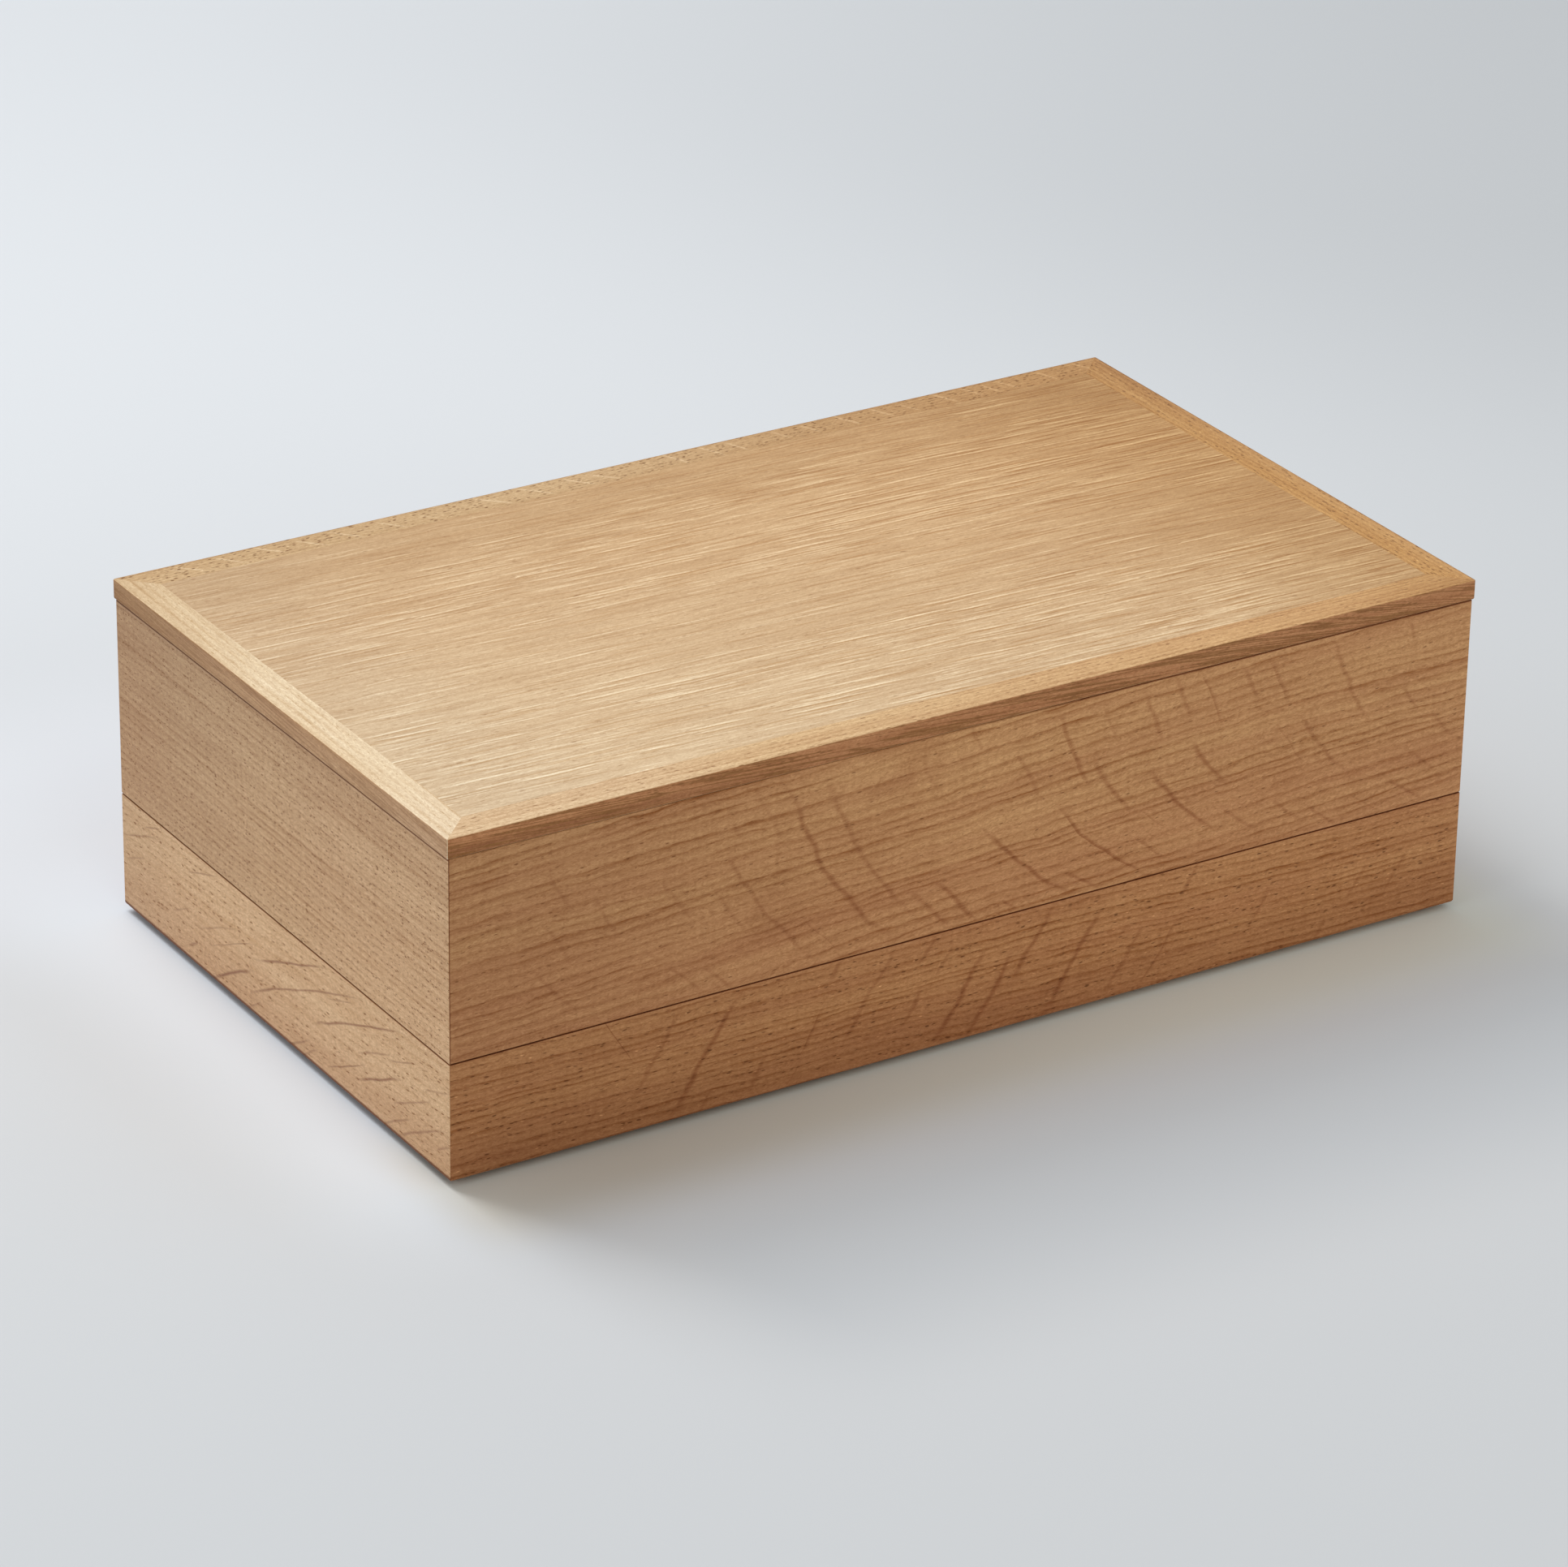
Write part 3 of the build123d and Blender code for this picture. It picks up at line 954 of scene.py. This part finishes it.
# Battens. Two oak strips glued across the ends of the lid's underside: they drop just inside the
# upper tier and keep the lid from sliding.
for side, seed in (("left", (0, 33, 0)), ("right", (700, 51, 0))):
    node = f"lid_{side}_batten"
    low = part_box(node)[0]
    dress(node, oak_board(node, "Y X Z", low, seed, tan_oak, plain_look))


# The stage: a wide pale sheet under the box, one large soft light behind it and to the left, a warm
# fill from the front, a small light at the left, and a pale surround.
floor_half = 6.0
floor_mesh = bpy.data.meshes.new("floor")
floor_corners = [(x * floor_half, y * floor_half, 0) for x, y in ((-1, -1), (1, -1), (1, 1), (-1, 1))]
floor_mesh.from_pydata(floor_corners, [], [(0, 1, 2, 3)])
floor = bpy.data.objects.new("floor", floor_mesh)
bpy.context.scene.collection.objects.link(floor)
paper = bpy.data.materials.new("pale_sheet")
paper.use_nodes = True
sheet = paper.node_tree

# Painted light and shade on the sheet: it pales towards the rear, where the light falls, and dims far
# away at the right
near_sheet = (0.612, 0.634, 0.672, 1)
rear_sheet = (0.688, 0.715, 0.76, 1)
far_sheet = (0.48, 0.5, 0.53, 1)
dimming = (0.2, 0.7)
across, depth = parted(sheet, sheet.nodes.new("ShaderNodeTexCoord").outputs["Object"])[:2]
rearward = fade(sheet, depth, -0.4, 0.5)
aside = fade(sheet, calc(sheet, "MULTIPLY_ADD", depth, -0.6, across), -0.35, 0.4)
away = calc(sheet, "MULTIPLY_ADD", across, 0.6, depth)
away = fade(sheet, calc(sheet, "MULTIPLY_ADD", aside, 0.3, away), 0.45, 0.95)
dim = calc(sheet, "MULTIPLY", away, between(sheet, aside, *dimming))
sheet_colour = tint(sheet, rearward, near_sheet, rear_sheet)
sheet_colour = tint(sheet, dim, sheet_colour, far_sheet)


def within(tree, *edges):
    """The product of several fades, each a value with the places where it is 0 and 1."""
    share = 1.0
    for value, outer, inner in edges:
        share = calc(tree, "MULTIPLY", share, fade(tree, value, outer, inner))
    return share


def apart(tree, value, middle):
    """How far a value is from a middle, on either side."""
    return calc(tree, "ABSOLUTE", calc(tree, "SUBTRACT", value, middle))


# Painted light and shade round the box: the sheet is whiter at the left of the box and behind it there.
# Close in front it goes from darker at the left end to whiter at the right, and further in front it is
# a little greyer.
box_length = 0.33
box_width = 0.19
painted_light_left = within(
    sheet, (apart(sheet, across, -box_length / 2), 0.055, 0.0), (apart(sheet, depth, 0.0), 0.15, 0.06)
)
painted_light_rear = within(
    sheet, (apart(sheet, across, -0.15), 0.12, 0.03), (apart(sheet, depth, 0.16), 0.11, 0.02)
)
painted_near_front = within(
    sheet,
    (apart(sheet, depth, -box_width / 2), 0.045, 0.012),
    (across, 0.19, 0.16),
    (across, -0.18, -0.16),
)
painted_shade_far_front = within(
    sheet, (depth, -0.13, -0.16), (depth, -0.25, -0.18), (across, -0.15, -0.11), (across, 0.4, 0.25)
)
front_left_shade = (0.97, 0.91, 0.8, 1)
front_right_shade = (1.25, 1.25, 1.13, 1)
front_shade = tint(sheet, fade(sheet, across, -0.15, 0.1), front_left_shade, front_right_shade)
for zone, shade in (
    (painted_light_left, (1.14, 1.175, 1.215, 1)),
    (painted_light_rear, (1.09, 1.09, 1.1, 1)),
    (painted_near_front, front_shade),
    (painted_shade_far_front, (0.92, 0.935, 0.95, 1)),
):
    sheet_colour = tint(sheet, zone, sheet_colour, shade, "MULTIPLY")
sheet_shader = sheet.nodes["Principled BSDF"]
feed(sheet, sheet_shader.inputs["Base Color"], sheet_colour)
sheet_shader.inputs["Roughness"].default_value = 0.8
sheet_shader.inputs["Specular IOR Level"].default_value = 0.2
floor_mesh.materials.append(paper)


def soft_light(name, way, distance, width, height, power, colour):
    """A soft rectangle of light that stands in one direction from the box and faces it."""
    lamp = bpy.data.lights.new(name, "AREA")
    lamp.shape = "RECTANGLE"
    lamp.size = width
    lamp.size_y = height
    lamp.energy = power
    lamp.color = colour
    stand = bpy.data.objects.new(name, lamp)
    stand.location = way.normalized() * distance
    stand.rotation_euler = way.to_track_quat("Z", "Y").to_euler()
    bpy.context.scene.collection.objects.link(stand)


soft_light(
    "softbox",
    way=Vector((-0.17, 0.5, 0.85)),
    distance=2.6,
    width=1.0,
    height=2.3,
    power=46.0,
    colour=(0.99, 0.99, 0.985),
)
soft_light(
    "fill",
    way=Vector((0.05, -0.85, 0.5)),
    distance=3.0,
    width=2.5,
    height=2.5,
    power=18.0,
    colour=(1.0, 0.94, 0.76),
)
soft_light(
    "side",
    way=Vector((-0.9, -0.1, 0.35)),
    distance=2.6,
    width=1.2,
    height=1.2,
    power=7.0,
    colour=(1.0, 0.99, 0.97),
)

world = bpy.data.worlds.new("surround")
bpy.context.scene.world = world
world.use_nodes = True
surround = world.node_tree.nodes["Background"]
surround.inputs["Color"].default_value = (0.965, 0.985, 0.97, 1)
surround.inputs["Strength"].default_value = 0.46


# The camera, where the box's edges in the photograph put it: turned to the front left, raised and
# rolled a little, and a few box lengths away. It looks at the middle of the lid, slid by a small way.
view_turn = math.radians(-32.1506)
view_rise = math.radians(25.6916)
view_roll = math.radians(0.9331)
view_distance = 5.8565 * box_length
view_slide = (-0.0108 * box_length, -0.1734 * box_length)
picture_width_pixels = 1932
lens_pixels = 8502.5
sensor_width = 36.0
back = Vector(
    (
        math.sin(view_turn) * math.cos(view_rise),
        -math.cos(view_turn) * math.cos(view_rise),
        math.sin(view_rise),
    )
)
level = Vector((math.cos(view_turn), math.sin(view_turn), 0))
upright = back.cross(level)
axis_x = level * math.cos(view_roll) + upright * math.sin(view_roll)
axis_y = -level * math.sin(view_roll) + upright * math.cos(view_roll)
lens = bpy.data.cameras.new("camera")
lens.sensor_fit = "HORIZONTAL"
lens.sensor_width = sensor_width
lens.lens = sensor_width * lens_pixels / picture_width_pixels
camera = bpy.data.objects.new("camera", lens)
lid_top = Vector((0, 0, cad_box[1][2]))
stand = lid_top + axis_x * view_slide[0] + axis_y * view_slide[1] + back * view_distance
facing = Matrix((axis_x, axis_y, back)).transposed()
camera.matrix_world = Matrix.Translation(stand) @ facing.to_4x4()
bpy.context.scene.collection.objects.link(camera)
bpy.context.scene.camera = camera
bpy.context.scene.view_settings.view_transform = "Standard"
